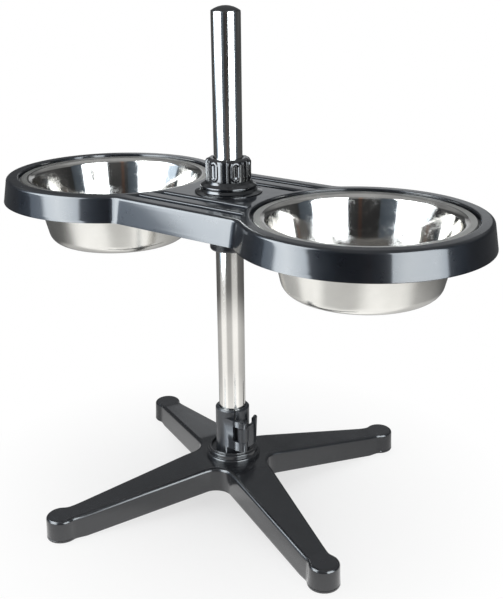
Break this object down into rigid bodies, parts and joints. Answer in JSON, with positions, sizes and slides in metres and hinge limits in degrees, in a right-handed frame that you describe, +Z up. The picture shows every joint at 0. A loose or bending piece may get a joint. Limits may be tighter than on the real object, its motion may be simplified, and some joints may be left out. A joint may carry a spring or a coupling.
{
  "type": "dog feeder stand",
  "caption": "Free-standing dog feeder: four-legged base, steel post with a flip clamp, and a double-bowl tray that slides, swivels and locks on the post.",
  "frame": {"origin": "on the post's axis at floor level", "axes": "+Z up along the post, +X along the tray towards the right bowl"},
  "size_m": [0.6232, 0.4318, 0.581],
  "materials": {
    "base_plastic": "satin",
    "clamp_plastic": "satin",
    "cap_plastic": "satin",
    "collet_plastic": "plain",
    "tray_plastic": "gloss",
    "nut_plastic": "gloss",
    "pad_rubber": "matt",
    "post_steel": "polished",
    "bowl_steel": "polished inside, satin outside",
    "screw_steel": "zinc plated",
    "pin_steel": "black oxide"
  },
  "bodies": {
    "base": {"base_moulding": "base_plastic", "foot_pad_1": "pad_rubber", "foot_pad_2": "pad_rubber", "foot_pad_3": "pad_rubber", "foot_pad_4": "pad_rubber", "post_socket": "clamp_plastic", "socket_screws": "screw_steel", "clamp_pin": "pin_steel"},
    "lever": {"clamp_lever": "clamp_plastic"},
    "post": {"post_tube": "post_steel", "post_cap": "cap_plastic", "post_plug": "cap_plastic"},
    "grip": {"collet": "collet_plastic"},
    "tray": {"tray": "tray_plastic", "tray_hub": "tray_plastic", "hub_screws": "screw_steel", "seat_ring": "nut_plastic"},
    "ring": {"thrust_ring": "nut_plastic"},
    "nut": {"clamp_nut": "nut_plastic"},
    "left_bowl": {"bowl_left": "bowl_steel"},
    "right_bowl": {"bowl_right": "bowl_steel"}
  },
  "joints": [
    {"name": "clamp_flip", "type": "hinge", "parent": "base", "child": "lever", "pos_m": [0.02823, -0.01599, 0.09], "axis": [0, 0, -1], "range_deg": [0, 120]},
    {"name": "post_lift", "type": "slide", "parent": "base", "child": "post", "axis": [0, 0, 1], "range_m": [0, 0.096]},
    {"name": "tray_height", "type": "slide", "parent": "post", "child": "grip", "axis": [0, 0, 1], "range_m": [-0.193, 0.14]},
    {"name": "tray_swivel", "type": "hinge", "parent": "grip", "child": "tray", "pos_m": [0, 0, 0.4], "axis": [0, 0, 1], "continuous": true},
    {"name": "nut_rise", "type": "slide", "parent": "tray", "child": "ring", "axis": [0, 0, 1], "range_m": [0, 0.003]},
    {"name": "nut_turn", "type": "hinge", "parent": "ring", "child": "nut", "pos_m": [0, 0, 0.41], "axis": [0, 0, 1], "range_deg": [0, 360]},
    {"name": "left_bowl_lift", "type": "slide", "parent": "tray", "child": "left_bowl", "axis": [0, 0, 1], "range_m": [0, 0.09]},
    {"name": "right_bowl_lift", "type": "slide", "parent": "tray", "child": "right_bowl", "axis": [0, 0, 1], "range_m": [0, 0.09]}
  ],
  "couplings": [
    {"joint": "nut_rise", "follows": "nut_turn", "m_per_rad": 0.000477}
  ]
}
